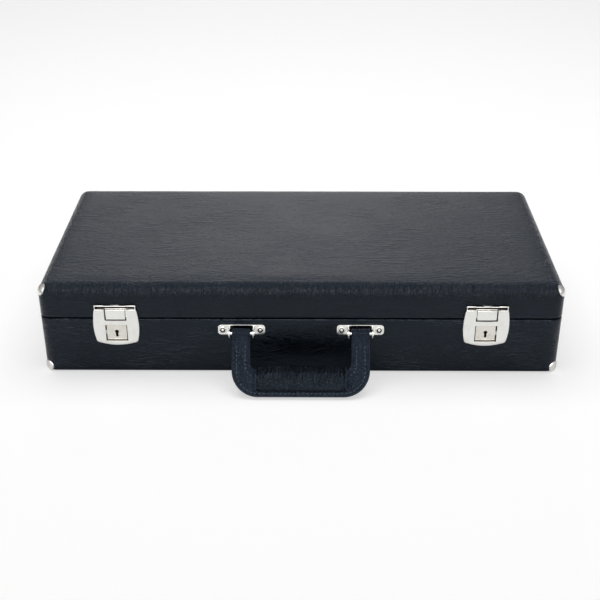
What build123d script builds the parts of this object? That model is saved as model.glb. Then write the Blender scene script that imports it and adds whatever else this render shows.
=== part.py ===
"""Bass recorder case: a covered plywood box with a hinged lid, two locks and a carrying handle."""
from build123d import *
from math import asin, atan, cos, degrees, hypot, pi, radians, sin
import os

os.makedirs("parts", exist_ok=True)

# Case outside, closed. X runs along the case, the front with the handle looks along -Y, Z is up.
case_length = 480.0
case_depth = 225.0
base_height = 57.0
parting_gap = 0.3
lid_height = 32.7
corner_radius = 10.5
lid_edge_radius = 10.0
base_edge_radius = 2.5
rim_rounding = 0.7

# Plywood boards under the leathercloth
covering = 0.9
board = 6.0
panel = 4.0
covering_seam = 3.4
covering_turn_in = 10.0

# Inner frame that stands proud of the rim and locates the lid
frame_thickness = 3.0
frame_rise = 4.0

# Fitted inside: a floor pad, two long dividers, saddles and one cross wall
floor_pad = 8.0
divider_thickness = 6.0
divider_height = 37.0
saddle_length = 24.0
saddle_height = 27.0
saddle_radius = 24.0
saddle_bore_height = 33.0
saddle_edge = 2.0
saddle_inset = 90.0
middle_saddle_inset = 180.0
front_saddle_inset = 110.0
cross_wall_inset = 220.0

# Lid inside
lining = 0.8
lining_above_frame = 1.0
lid_pad_thickness = 12.0
lid_pad_margin = 10.0
lid_pad_corner = 18.0
lid_pad_crown = 9.0

# Back hinges
hinge_inset = 90.0
hinge_width = 44.0
hinge_leaf_height = 20.0
hinge_leaf = 1.2
hinge_barrel_radius = 2.6
hinge_pin_radius = 1.3
hinge_running_gap = 0.05
hinge_knuckle_gap = 0.3
hinge_centre_knuckle = 16.0
hinge_leaf_corner = 4.0
hinge_barrel_gap = 0.1
hinge_notch_gap = 0.3
hinge_pin_head_radius = 1.9
hinge_pin_head = 0.8
hinge_rivet_x = 14.5
hinge_rivet_drop = 12.0
hinge_rivet_radius = 2.4
hinge_rivet_head = 1.1

# Studs that the case stands on when it is carried upright
foot_inset = 35.0
base_foot_height = 20.0
lid_foot_height = 17.0
foot_radius = 7.0
foot_length = 6.5
foot_rounding = 3.0

# Share of a rivet head's height that is rounded over
head_rounding = 0.9

# Corner caps
cap_thickness = 0.8
lid_cap_width = 8.0
base_cap_width = 11.0
cap_height = 11.0
cap_reach = 30.0
cap_tilt = 0.8
base_cap_centre = 10.0

# Locks, seen from the front: rises and drops are from the base's rim, depths are out from the front face
lock_inset = 71.0
lock_proud = 3.8
lock_sheet = 0.9
lock_band_raise = 0.5
lock_band_width = 23.0
lock_top_rise = 12.8
lock_top_half = 19.0
lock_belly_half = 21.2
lock_belly_drop = 7.0
lock_bottom_half = 18.9
lock_shoulder_drop = 23.0
lock_bottom_drop = 26.3
lock_corner = 2.3
lock_edge_rounding = 0.6
lock_skirt_gap = 0.35
lock_window = 19.6
lock_window_gap = 0.6
lock_hinge_rise = 14.4
lock_hinge_proud = 2.6
lock_knuckle_radius = 1.0
lock_pin_radius = 0.5
lock_pin_running_gap = 0.04
lock_outer_knuckle = 9.7
lock_centre_knuckle = 8.0
lock_web = 1.2
lock_plate = 0.8
lock_plate_width = 33.2
lock_plate_drop = 22.0
lock_plate_rim_gap = 1.4
lock_rivet_x = 15.0
lock_rivet_radius = 1.3
lock_rivet_head = 0.8
lock_rivet_low_drop = 19.4
lock_rivet_high_drop = 5.5
lock_rivet_lid_rise = 7.0
lock_face_gap = 0.15
leaf_top_rise = 11.3
leaf_rim_gap = 0.2
leaf_neck = 1.0
leaf_neck_back = 1.0
slide_low_drop = 20.8
slide_high_drop = 5.3
slide_travel = 3.0
slide_side_gap = 0.2
slide_flange = 0.9
slide_flange_thickness = 0.5
slide_frame_rail = 2.6
slide_frame_end = 1.0
slide_frame_proud = 2.2
bolt_height = 4.0
bolt_thickness = 0.55
bolt_back = 1.4
bolt_reach = 4.4
catch_thickness = 1.0
catch_gap = 0.5
catch_height = 6.4
catch_tip = 0.15
catch_hole_gap = 0.15
keyhole_radius = 1.7
keyhole_slot = 1.9
keyhole_drop = 5.1
keyhole_depth = 0.9
dish_radius = 4.6
dish_depth = 0.3

# Handle brackets and the leather handle
bracket_x = 54.5
bracket_width = 43.3
bracket_height = 10.3
bracket_centre_drop = 10.8
bracket_sheet = 1.2
bracket_corner = 3.2
bracket_rivet_x = 17.2
bracket_rivet_radius = 3.1
bracket_rivet_head = 1.5
ear_gap = 20.5
ear_tip_radius = 3.5
bracket_window_low = 1.5
bracket_window_high = 1.8
pivot_proud = 6.5
pivot_drop = 11.4
handle_pin_radius = 1.6
handle_pin_running_gap = 0.1
handle_pin_head = 0.6
handle_pin_head_radius = 2.3
strap_width = 16.5
strap_thickness = 4.4
strap_drop = 58.3
strap_bar_top = 38.0
strap_outer_corner = 24.0
strap_inner_corner = 7.0
strap_loop_radius = 4.5
strap_edge_rounding = 1.0
strap_floor_gap = 0.25
core_margin = 3.75
core_thickness = 1.6
core_start = 8.0
sleeve_length = 83.0
sleeve_top_end = 37.1
sleeve_top_middle = 32.4
sleeve_bottom = 52.6
sleeve_thickness_end = 9.0
sleeve_thickness_middle = 11.0

# Heights and faces that several pieces share
lid_rim = base_height + parting_gap
lid_top = lid_rim + lid_height
floor_top = covering + panel
cavity_length = case_length - 2 * (covering + board)
cavity_depth = case_depth - 2 * (covering + board)
frame_length = cavity_length - 2 * covering
frame_depth = cavity_depth - 2 * covering
inside_length = frame_length - 2 * frame_thickness
inside_depth = frame_depth - 2 * frame_thickness
frame_top = base_height + frame_rise
pad_top = floor_top + floor_pad
channel_width = (inside_depth - 2 * divider_thickness) / 3
channel_pitch = channel_width + divider_thickness
ceiling = lid_top - covering - panel
lock_top = base_height + lock_top_rise
lock_belly_z = base_height - lock_belly_drop
lock_shoulder_z = base_height - lock_shoulder_drop
lock_bottom_z = base_height - lock_bottom_drop
lock_hinge_z = base_height + lock_hinge_rise
lock_plate_low = base_height - lock_plate_drop
leaf_top = base_height + leaf_top_rise
slide_low = base_height - slide_low_drop
slide_high = base_height - slide_high_drop
bracket_centre_z = base_height - bracket_centre_drop
pivot_z = base_height - pivot_drop
hinge_places = {"left": hinge_inset - case_length / 2, "right": case_length / 2 - hinge_inset}
lock_places = {"left": lock_inset - case_length / 2, "right": case_length / 2 - lock_inset}
foot_x = case_length / 2 - foot_inset
pieces = {}


def on_front(x, proud=0.0):
    """Sketch plane on the front face at x: its local y is the height above the floor."""
    return Plane(origin=(x, -case_depth / 2 - proud, 0), x_dir=(1, 0, 0), z_dir=(0, -1, 0))


def on_back(x, proud=0.0):
    """Sketch plane on the back face at x: its local y is the height above the floor."""
    return Plane(origin=(x, case_depth / 2 + proud, 0), x_dir=(-1, 0, 0), z_dir=(0, 1, 0))


def base_block(inset):
    """The base's outside as a full block, drawn in by inset on every face."""
    with BuildSketch(Plane.XY.offset(inset)) as plan:
        RectangleRounded(case_length - 2 * inset, case_depth - 2 * inset, corner_radius - inset)
    extrude(plan.sketch, amount=base_height - 2 * inset)
    fillet(edges().group_by(Axis.Z)[0], base_edge_radius - inset)


def lid_block(inset):
    """The lid's outside as a full block, drawn in by inset on every face."""
    with BuildSketch(Plane.XY.offset(lid_rim + inset)) as plan:
        RectangleRounded(case_length - 2 * inset, case_depth - 2 * inset, corner_radius - inset)
    extrude(plan.sketch, amount=lid_height - 2 * inset)
    fillet(edges().group_by(Axis.Z)[-1], lid_edge_radius - inset)


def mitre(side):
    """The part of the plan that the board on one side keeps, cut at 45 degrees at its ends."""
    x = case_length / 2
    y = case_depth / 2
    corners = {
        "front": [(-x, -y), (x, -y), (x - y, 0), (y - x, 0)],
        "back": [(x, y), (-x, y), (y - x, 0), (x - y, 0)],
        "left": [(-x, y), (-x, -y), (y - x, 0)],
        "right": [(x, -y), (x, y), (x - y, 0)],
    }
    Polygon(*corners[side], align=None)


sides = ("front", "back", "left", "right")

with BuildPart() as base_outside:
    base_block(0)
with BuildPart() as base_core:
    base_block(covering)
with BuildPart() as lid_outside:
    lid_block(0)
with BuildPart() as lid_core:
    lid_block(covering)

# Base: bottom panel, four mitred boards, and leathercloth in two pieces
with BuildPart() as base_bottom_panel:
    add(base_core.part)
    split(bisect_by=Plane.XY.offset(floor_top), keep=Keep.BOTTOM)
pieces["base_bottom_panel"] = base_bottom_panel

for side in sides:
    with BuildPart() as base_board:
        add(base_core.part)
        with BuildSketch(Plane.XY.offset(floor_top)):
            mitre(side)
            Rectangle(cavity_length, cavity_depth, mode=Mode.SUBTRACT)
        extrude(amount=base_height, mode=Mode.INTERSECT)
    pieces[f"base_{side}_board"] = base_board

with BuildPart() as base_wall_covering:
    add(base_outside.part)
    fillet(edges().group_by(Axis.Z)[-1], rim_rounding)
    add(base_core.part, mode=Mode.SUBTRACT)
    with BuildSketch(Plane.XY.offset(base_height)):
        Rectangle(cavity_length, cavity_depth)
    extrude(amount=-covering_turn_in)
    with BuildSketch(Plane.XY.offset(base_height)):
        Rectangle(frame_length, frame_depth)
    extrude(amount=-covering_turn_in, mode=Mode.SUBTRACT)
    split(bisect_by=Plane.XY.offset(covering_seam), keep=Keep.TOP)
pieces["base_wall_covering"] = base_wall_covering

with BuildPart() as base_bottom_covering:
    add(base_outside.part)
    add(base_core.part, mode=Mode.SUBTRACT)
    split(bisect_by=Plane.XY.offset(covering_seam), keep=Keep.BOTTOM)
pieces["base_bottom_covering"] = base_bottom_covering

# Inner frame: four mitred strips inside the base boards
for side in sides:
    with BuildPart() as frame_strip:
        with BuildSketch(Plane.XY.offset(floor_top)):
            mitre(side)
            Rectangle(frame_length, frame_depth, mode=Mode.INTERSECT)
            Rectangle(inside_length, inside_depth, mode=Mode.SUBTRACT)
        extrude(amount=frame_top - floor_top)
    pieces[f"inner_frame_{side}"] = frame_strip

# Fitted inside of the base
with BuildPart() as floor_pad_piece:
    with BuildSketch(Plane.XY.offset(floor_top)):
        Rectangle(inside_length, inside_depth)
    extrude(amount=floor_pad)
pieces["floor_pad"] = floor_pad_piece

for name, direction in (("front", -1), ("rear", 1)):
    with BuildPart() as divider:
        with BuildSketch(Plane.XY.offset(pad_top)):
            with Locations((0, direction * channel_pitch / 2)):
                Rectangle(inside_length, divider_thickness)
        extrude(amount=divider_height)
        fillet(edges().group_by(Axis.Z)[-1].filter_by(Axis.X), saddle_edge)
    pieces[f"divider_{name}"] = divider

saddles = {
    "rear_left": (saddle_inset - case_length / 2, 1),
    "rear_right": (case_length / 2 - saddle_inset, 1),
    "middle_left": (saddle_inset - case_length / 2, 0),
    "middle_right": (case_length / 2 - middle_saddle_inset, 0),
    "front": (front_saddle_inset - case_length / 2, -1),
}
for name, (x, channel) in saddles.items():
    with BuildPart() as saddle:
        with BuildSketch(Plane(origin=(x - saddle_length / 2, channel * channel_pitch, pad_top),
                               x_dir=(0, 1, 0), z_dir=(1, 0, 0))):
            Rectangle(channel_width, saddle_height, align=(Align.CENTER, Align.MIN))
            with Locations((0, saddle_bore_height)):
                Circle(saddle_radius, mode=Mode.SUBTRACT)
        extrude(amount=saddle_length)
    pieces[f"saddle_{name}"] = saddle

with BuildPart() as cross_wall:
    with BuildSketch(Plane.XY.offset(pad_top)):
        with Locations((case_length / 2 - cross_wall_inset, -channel_pitch)):
            Rectangle(divider_thickness, channel_width)
    extrude(amount=divider_height)
pieces["cross_wall"] = cross_wall

# Lid: top panel, four mitred boards, one piece of leathercloth, lining and pad
with BuildPart() as lid_top_panel:
    add(lid_core.part)
    split(bisect_by=Plane.XY.offset(ceiling), keep=Keep.TOP)
pieces["lid_top_panel"] = lid_top_panel

for side in sides:
    with BuildPart() as lid_board:
        add(lid_core.part)
        with BuildSketch(Plane.XY.offset(lid_rim)):
            mitre(side)
            Rectangle(cavity_length, cavity_depth, mode=Mode.SUBTRACT)
        extrude(amount=ceiling - lid_rim, mode=Mode.INTERSECT)
    pieces[f"lid_{side}_board"] = lid_board

with BuildPart() as lid_covering:
    add(lid_outside.part)
    fillet(edges().group_by(Axis.Z)[0], rim_rounding)
    add(lid_core.part, mode=Mode.SUBTRACT)
    with BuildSketch(Plane.XY.offset(lid_rim)):
        Rectangle(cavity_length, cavity_depth)
    extrude(amount=covering, mode=Mode.SUBTRACT)
pieces["lid_covering"] = lid_covering

with BuildPart() as lid_lining:
    with BuildSketch(Plane.XY.offset(frame_top + lining_above_frame)):
        Rectangle(cavity_length, cavity_depth)
        Rectangle(cavity_length - 2 * lining, cavity_depth - 2 * lining, mode=Mode.SUBTRACT)
    extrude(amount=ceiling - frame_top - lining_above_frame)
pieces["lid_lining"] = lid_lining

with BuildPart() as lid_pad:
    with BuildSketch(Plane.XY.offset(ceiling - lid_pad_thickness)):
        RectangleRounded(cavity_length - 2 * lid_pad_margin, cavity_depth - 2 * lid_pad_margin,
                         lid_pad_corner)
    extrude(amount=lid_pad_thickness)
    fillet(edges().group_by(Axis.Z)[0], lid_pad_crown)
pieces["lid_pad"] = lid_pad

# Corner caps: pressed ovals on the front corners, two on the lid's top and two on the base's foot
with BuildPart() as lid_corner_caps:
    lid_block(-cap_thickness)
    add(lid_outside.part, mode=Mode.SUBTRACT)
    with BuildSketch(Plane(origin=(case_length / 2 - corner_radius, corner_radius - case_depth / 2,
                                   lid_top - lid_edge_radius),
                           x_dir=(1, 1, 0), z_dir=(1, -1, cap_tilt))):
        Ellipse(lid_cap_width / 2, cap_height / 2)
    extrude(amount=cap_reach, mode=Mode.INTERSECT)
    mirror(about=Plane.YZ)
pieces["lid_corner_caps"] = lid_corner_caps

with BuildPart() as base_corner_caps:
    base_block(-cap_thickness)
    add(base_outside.part, mode=Mode.SUBTRACT)
    with BuildSketch(Plane(origin=(case_length / 2 - corner_radius, corner_radius - case_depth / 2,
                                   base_cap_centre),
                           x_dir=(1, 1, 0), z_dir=(1, -1, -cap_tilt))):
        Ellipse(base_cap_width / 2, cap_height / 2)
    extrude(amount=cap_reach, mode=Mode.INTERSECT)
    split(bisect_by=Plane.XY, keep=Keep.TOP)
    mirror(about=Plane.YZ)
pieces["base_corner_caps"] = base_corner_caps

# Studs on the back, two on the base and two on the lid
for part_name, height in (("base", base_foot_height), ("lid", lid_rim + lid_foot_height)):
    with BuildPart() as feet:
        with BuildSketch(on_back(0)):
            with Locations((-foot_x, height), (foot_x, height)):
                Circle(foot_radius)
        extrude(amount=foot_length)
        fillet(edges().group_by(Axis.Y)[-1], foot_rounding)
    pieces[f"{part_name}_feet"] = feet

# Back hinges: the barrel lies just outside the back face, level with the parting line
barrel_proud = hinge_barrel_radius + hinge_barrel_gap
barrel_z = base_height + parting_gap / 2
notch = hinge_barrel_radius + hinge_notch_gap
outer_knuckle = (hinge_width - hinge_centre_knuckle) / 2 - hinge_knuckle_gap


def hinge_barrel(x, width, bore):
    """One knuckle of a back hinge, centred on x."""
    with BuildSketch(Plane(origin=(x + width / 2, case_depth / 2, 0), x_dir=(0, 1, 0),
                           z_dir=(-1, 0, 0))) as ring:
        with Locations((barrel_proud, -barrel_z)):
            Circle(hinge_barrel_radius)
            Circle(bore, mode=Mode.SUBTRACT)
    extrude(ring.sketch, amount=width)


for side, x in hinge_places.items():
    knuckles = [x + end * (hinge_width - outer_knuckle) / 2 for end in (-1, 1)]
    with BuildPart() as base_leaf:
        with BuildSketch(on_back(x)):
            with Locations((0, barrel_z)):
                Rectangle(hinge_width, hinge_leaf_height, align=(Align.CENTER, Align.MAX))
            fillet(vertices().group_by(Axis.Y)[0], hinge_leaf_corner)
            with Locations((0, barrel_z)):
                Rectangle(hinge_centre_knuckle + 2 * hinge_knuckle_gap, 2 * notch, mode=Mode.SUBTRACT)
        extrude(amount=hinge_leaf)
        for knuckle in knuckles:
            hinge_barrel(knuckle, outer_knuckle, hinge_pin_radius)
            with BuildSketch(Plane(origin=(knuckle + outer_knuckle / 2, case_depth / 2, 0),
                                   x_dir=(0, 1, 0), z_dir=(-1, 0, 0))):
                with Locations((barrel_proud, -barrel_z)):
                    Circle(hinge_pin_radius)
            extrude(amount=outer_knuckle, mode=Mode.SUBTRACT)
    pieces[f"{side}_hinge_base_leaf"] = base_leaf

    with BuildPart() as lid_leaf:
        with BuildSketch(on_back(x)):
            with Locations((0, barrel_z)):
                Rectangle(hinge_width, hinge_leaf_height, align=(Align.CENTER, Align.MIN))
            fillet(vertices().group_by(Axis.Y)[-1], hinge_leaf_corner)
            with Locations(((hinge_width + hinge_centre_knuckle) / 4, barrel_z),
                           (-(hinge_width + hinge_centre_knuckle) / 4, barrel_z)):
                Rectangle((hinge_width - hinge_centre_knuckle) / 2, 2 * notch, mode=Mode.SUBTRACT)
        extrude(amount=hinge_leaf)
        hinge_barrel(x, hinge_centre_knuckle, hinge_pin_radius)
        with BuildSketch(Plane(origin=(x + hinge_width / 2, case_depth / 2, 0),
                               x_dir=(0, 1, 0), z_dir=(-1, 0, 0))):
            with Locations((barrel_proud, -barrel_z)):
                Circle(hinge_pin_radius + hinge_running_gap)
        extrude(amount=hinge_width, mode=Mode.SUBTRACT)
    pieces[f"{side}_hinge_lid_leaf"] = lid_leaf

    with BuildPart() as hinge_pin:
        with BuildSketch(Plane(origin=(x + hinge_width / 2, case_depth / 2, 0),
                               x_dir=(0, 1, 0), z_dir=(-1, 0, 0))):
            with Locations((barrel_proud, -barrel_z)):
                Circle(hinge_pin_radius)
        extrude(amount=hinge_width)
        with BuildSketch(Plane(origin=(x + hinge_width / 2, case_depth / 2, 0),
                               x_dir=(0, 1, 0), z_dir=(-1, 0, 0)),
                         Plane(origin=(x - hinge_width / 2 - hinge_pin_head, case_depth / 2, 0),
                               x_dir=(0, 1, 0), z_dir=(-1, 0, 0))):
            with Locations((barrel_proud, -barrel_z)):
                Circle(hinge_pin_head_radius)
        extrude(amount=-hinge_pin_head)
    pieces[f"{side}_hinge_pin"] = hinge_pin

for part_name, height in (("base", barrel_z - hinge_rivet_drop), ("lid", barrel_z + hinge_rivet_drop)):
    with BuildPart() as hinge_rivets:
        with BuildSketch(on_back(0, hinge_leaf)):
            with Locations(*[(-x + offset_x, height) for x in hinge_places.values()
                             for offset_x in (-hinge_rivet_x, 0, hinge_rivet_x)]):
                Circle(hinge_rivet_radius)
        extrude(amount=hinge_rivet_head)
        fillet(edges().group_by(Axis.Y)[-1], hinge_rivet_head * head_rounding)
    pieces[f"hinge_{part_name}_rivets"] = hinge_rivets

# Locks: a hollow barrel-shaped flap hangs from the lid and hides the slide on the base
wing_proud = lock_proud - lock_band_raise
wing_inside = wing_proud - lock_sheet
band_inside = lock_proud - lock_sheet
leaf_width = lock_window - 2 * lock_window_gap
slide_half = leaf_width / 2
pocket_start = slide_half + slide_side_gap
pocket_end = slide_half + slide_travel + slide_side_gap
catch_start = pocket_end + slide_frame_end + catch_gap
slide_face = band_inside - lock_face_gap
slide_back = lock_plate + lock_face_gap
slide_centre_z = (slide_low + slide_high) / 2


def barrel_outline(inset, top):
    """Outline of a lock flap, drawn in by inset: straight top, bellied sides and a slightly bowed foot."""
    top_half = lock_top_half - inset
    belly_half = lock_belly_half - inset
    bottom_half = lock_bottom_half - inset
    shoulder = lock_shoulder_z + inset
    with BuildLine() as outline:
        Line((-top_half, top), (top_half, top))
        ThreePointArc((top_half, top), (belly_half, lock_belly_z), (bottom_half, shoulder))
        ThreePointArc((bottom_half, shoulder), (0, lock_bottom_z + inset), (-bottom_half, shoulder))
        ThreePointArc((-bottom_half, shoulder), (-belly_half, lock_belly_z), (-top_half, top))
    make_face(outline.edges())
    fillet(vertices().filter_by(lambda v: abs(v.Y - shoulder) < 0.01), lock_corner - inset)


def box_on_front(x, left, right, low, high, start, end, mode=Mode.ADD):
    """A block on the front face: left to right beside x, low to high, start to end out of the face."""
    with BuildSketch(on_front(x, start)) as face:
        with Locations((left, low)):
            Rectangle(right - left, high - low, align=(Align.MIN, Align.MIN))
    extrude(face.sketch, amount=end - start, mode=mode)


def rod_on_front(x, left, right, proud, height, radius, mode=Mode.ADD):
    """A rod along X in front of the case, left to right beside x."""
    with BuildSketch(Plane(origin=(x + right, -case_depth / 2, 0), x_dir=(0, -1, 0),
                           z_dir=(-1, 0, 0))) as end_face:
        with Locations((proud, height)):
            Circle(radius)
    extrude(end_face.sketch, amount=right - left, mode=mode)


for side, x in lock_places.items():
    hand = 1 if x > 0 else -1

    with BuildPart() as flap:
        with BuildSketch(on_front(x, lock_skirt_gap)):
            barrel_outline(0, lock_top)
        extrude(amount=wing_proud - lock_skirt_gap)
        fillet(edges().group_by(Axis.Y)[0], lock_edge_rounding)
        with BuildSketch(on_front(x, wing_proud)):
            barrel_outline(lock_sheet, lock_top - lock_sheet)
            with Locations((0, lock_belly_z)):
                Rectangle(lock_band_width, case_length, mode=Mode.INTERSECT)
        extrude(amount=lock_band_raise)
        with BuildSketch(on_front(x, lock_skirt_gap)):
            barrel_outline(lock_sheet, lock_top + lock_sheet)
        extrude(amount=wing_inside - lock_skirt_gap, mode=Mode.SUBTRACT)
        with BuildSketch(on_front(x, wing_inside)):
            barrel_outline(lock_sheet, lock_top - lock_sheet)
            with Locations((0, lock_belly_z)):
                Rectangle(2 * (pocket_end + slide_side_gap), case_length, mode=Mode.INTERSECT)
        extrude(amount=lock_band_raise, mode=Mode.SUBTRACT)
        for low, high in ((slide_low, slide_high), (lid_rim + leaf_rim_gap, leaf_top)):
            box_on_front(x, -lock_window / 2, lock_window / 2, low - lock_window_gap,
                         high + lock_window_gap, 0, lock_proud, Mode.SUBTRACT)
        for end in (-1, 1):
            left = min(end * lock_outer_knuckle, end * lock_top_half)
            right = max(end * lock_outer_knuckle, end * lock_top_half)
            box_on_front(x, left, right, lock_top - lock_edge_rounding, lock_hinge_z,
                         lock_hinge_proud - lock_sheet, lock_hinge_proud - lock_sheet + lock_web)
            rod_on_front(x, left, right, lock_hinge_proud, lock_hinge_z, lock_knuckle_radius)
        left = min(hand * catch_start, hand * (catch_start + catch_thickness))
        box_on_front(x, left, left + catch_thickness, slide_centre_z - catch_height / 2,
                     slide_centre_z + catch_height / 2, slide_back, wing_inside + lock_sheet / 2)
        box_on_front(x, left, left + catch_thickness, slide_centre_z - bolt_height / 2 - catch_hole_gap,
                     slide_centre_z + bolt_height / 2 + catch_hole_gap, bolt_back - catch_hole_gap,
                     bolt_back + bolt_thickness + catch_hole_gap, Mode.SUBTRACT)
        rod_on_front(x, -lock_top_half, lock_top_half, lock_hinge_proud, lock_hinge_z, lock_pin_radius,
                     Mode.SUBTRACT)
    pieces[f"{side}_lock_flap"] = flap

    with BuildPart() as flap_pin:
        rod_on_front(x, -lock_top_half, lock_top_half, lock_hinge_proud, lock_hinge_z, lock_pin_radius)
    pieces[f"{side}_flap_pin"] = flap_pin

    with BuildPart() as hinge_plate:
        box_on_front(x, -lock_plate_width / 2, lock_plate_width / 2, lid_rim + lock_plate_rim_gap,
                     leaf_top, 0, lock_plate)
        box_on_front(x, -leaf_width / 2, leaf_width / 2, lid_rim + leaf_rim_gap, leaf_top, 0, slide_face)
        box_on_front(x, -lock_centre_knuckle / 2, lock_centre_knuckle / 2, leaf_top - leaf_neck,
                     lock_hinge_z, leaf_neck_back, leaf_neck_back + leaf_neck)
        rod_on_front(x, -lock_centre_knuckle / 2, lock_centre_knuckle / 2, lock_hinge_proud,
                     lock_hinge_z, lock_knuckle_radius)
        rod_on_front(x, -lock_top_half, lock_top_half, lock_hinge_proud, lock_hinge_z,
                     lock_pin_radius + lock_pin_running_gap, Mode.SUBTRACT)
    pieces[f"{side}_lock_hinge_plate"] = hinge_plate

    frame_left = min(-hand * (pocket_start + slide_frame_end), hand * (pocket_end + slide_frame_end))
    frame_right = max(-hand * (pocket_start + slide_frame_end), hand * (pocket_end + slide_frame_end))
    pocket_left = min(-hand * pocket_start, hand * pocket_end)
    pocket_right = max(-hand * pocket_start, hand * pocket_end)
    with BuildPart() as lock_case:
        box_on_front(x, -lock_plate_width / 2, lock_plate_width / 2, lock_plate_low,
                     base_height - lock_plate_rim_gap, 0, lock_plate)
        box_on_front(x, frame_left, frame_right, slide_low - slide_frame_rail,
                     slide_high + slide_frame_rail, 0, slide_frame_proud)
        box_on_front(x, pocket_left, pocket_right, slide_low - slide_side_gap,
                     slide_high + slide_side_gap, lock_plate, slide_frame_proud, Mode.SUBTRACT)
        box_on_front(x, pocket_left, pocket_right, slide_low - slide_flange - slide_side_gap,
                     slide_high + slide_flange + slide_side_gap, lock_plate,
                     slide_back + slide_flange_thickness + lock_face_gap, Mode.SUBTRACT)
        box_on_front(x, min(0, hand * case_length), max(0, hand * case_length),
                     slide_centre_z - bolt_height / 2 - catch_hole_gap,
                     slide_centre_z + bolt_height / 2 + catch_hole_gap, bolt_back - catch_hole_gap,
                     slide_frame_proud, Mode.SUBTRACT)
    pieces[f"{side}_lock_case"] = lock_case

    bolt_end = hand * (slide_half + bolt_reach)
    with BuildPart() as slide:
        box_on_front(x, -slide_half, slide_half, slide_low, slide_high, slide_back, slide_face)
        box_on_front(x, -slide_half, slide_half, slide_low - slide_flange, slide_high + slide_flange,
                     slide_back, slide_back + slide_flange_thickness)
        box_on_front(x, min(0, bolt_end), max(0, bolt_end), slide_centre_z - bolt_height / 2,
                     slide_centre_z + bolt_height / 2, bolt_back, bolt_back + bolt_thickness)
        with BuildSketch(on_front(x, slide_face)):
            with Locations((0, slide_centre_z)):
                Circle(dish_radius)
        extrude(amount=-dish_depth, mode=Mode.SUBTRACT)
        with BuildSketch(on_front(x, slide_face)):
            with Locations((0, slide_centre_z)):
                Circle(keyhole_radius)
                Rectangle(keyhole_slot, keyhole_drop, align=(Align.CENTER, Align.MAX))
        extrude(amount=-keyhole_depth, mode=Mode.SUBTRACT)
    pieces[f"{side}_lock_slide"] = slide

with BuildPart() as lock_case_rivets:
    with BuildSketch(on_front(0, lock_plate)):
        with Locations(*[(x + end * lock_rivet_x, height) for x in lock_places.values()
                         for end in (-1, 1)
                         for height in (base_height - lock_rivet_low_drop,
                                        base_height - lock_rivet_high_drop)]):
            Circle(lock_rivet_radius)
    extrude(amount=lock_rivet_head)
    fillet(edges().group_by(Axis.Y)[0], lock_rivet_head * head_rounding)
pieces["lock_case_rivets"] = lock_case_rivets

with BuildPart() as lock_hinge_rivets:
    with BuildSketch(on_front(0, lock_plate)):
        with Locations(*[(x + end * lock_rivet_x, base_height + lock_rivet_lid_rise)
                         for x in lock_places.values() for end in (-1, 1)]):
            Circle(lock_rivet_radius)
    extrude(amount=lock_rivet_head)
    fillet(edges().group_by(Axis.Y)[0], lock_rivet_head * head_rounding)
pieces["lock_hinge_rivets"] = lock_hinge_rivets

# Handle brackets: the ears are cut from the plate's window and bent out to carry the pin
for side, x in (("left", -bracket_x), ("right", bracket_x)):
    window_low = bracket_centre_z - bracket_height / 2 + bracket_window_low
    window_high = bracket_centre_z + bracket_height / 2 - bracket_window_high
    with BuildPart() as bracket:
        with BuildSketch(on_front(x)):
            with Locations((0, bracket_centre_z)):
                RectangleRounded(bracket_width, bracket_height, bracket_corner)
            with Locations((0, (window_low + window_high) / 2)):
                Rectangle(ear_gap, window_high - window_low, mode=Mode.SUBTRACT)
        extrude(amount=bracket_sheet)
        for inner in (ear_gap / 2 + bracket_sheet, -ear_gap / 2):
            with BuildSketch(Plane(origin=(x + inner, -case_depth / 2, 0), x_dir=(0, -1, 0),
                                   z_dir=(-1, 0, 0))):
                Polygon((0, window_low), (pivot_proud, pivot_z - ear_tip_radius),
                        (pivot_proud, pivot_z + ear_tip_radius), (0, window_high), align=None)
                with Locations((pivot_proud, pivot_z)):
                    Circle(ear_tip_radius)
            extrude(amount=bracket_sheet)
        rod_on_front(x, -bracket_width / 2, bracket_width / 2, pivot_proud, pivot_z, handle_pin_radius,
                     Mode.SUBTRACT)
    pieces[f"{side}_handle_bracket"] = bracket

    pin_half = ear_gap / 2 + bracket_sheet
    with BuildPart() as handle_pin:
        rod_on_front(x, -pin_half, pin_half, pivot_proud, pivot_z, handle_pin_radius)
        for end in (-pin_half - handle_pin_head, pin_half):
            rod_on_front(x, end, end + handle_pin_head, pivot_proud, pivot_z, handle_pin_head_radius)
    pieces[f"{side}_handle_pin"] = handle_pin

with BuildPart() as bracket_rivets:
    with BuildSketch(on_front(0, bracket_sheet)):
        with Locations(*[(x + end * bracket_rivet_x, bracket_centre_z) for x in (-bracket_x, bracket_x)
                         for end in (-1, 1)]):
            Circle(bracket_rivet_radius)
    extrude(amount=bracket_rivet_head)
    fillet(edges().group_by(Axis.Y)[0], bracket_rivet_head * head_rounding)
pieces["bracket_rivets"] = bracket_rivets

# Handle at rest: it hangs from its pins and its edge lies just above the floor
strap_half = strap_thickness / 2
strap_reach = hypot(strap_drop, strap_half)
rest_angle = asin((pivot_z - strap_floor_gap) / strap_reach) - atan(strap_half / strap_drop)
print(f"handle rests {degrees(rest_angle):.2f} degrees below level")
handle_plane = Plane(origin=(0, -case_depth / 2 - pivot_proud, pivot_z), x_dir=(1, 0, 0),
                     z_dir=(0, -sin(rest_angle), cos(rest_angle)))
strap_outer = bracket_x + strap_width / 2
strap_inner = bracket_x - strap_width / 2


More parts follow.
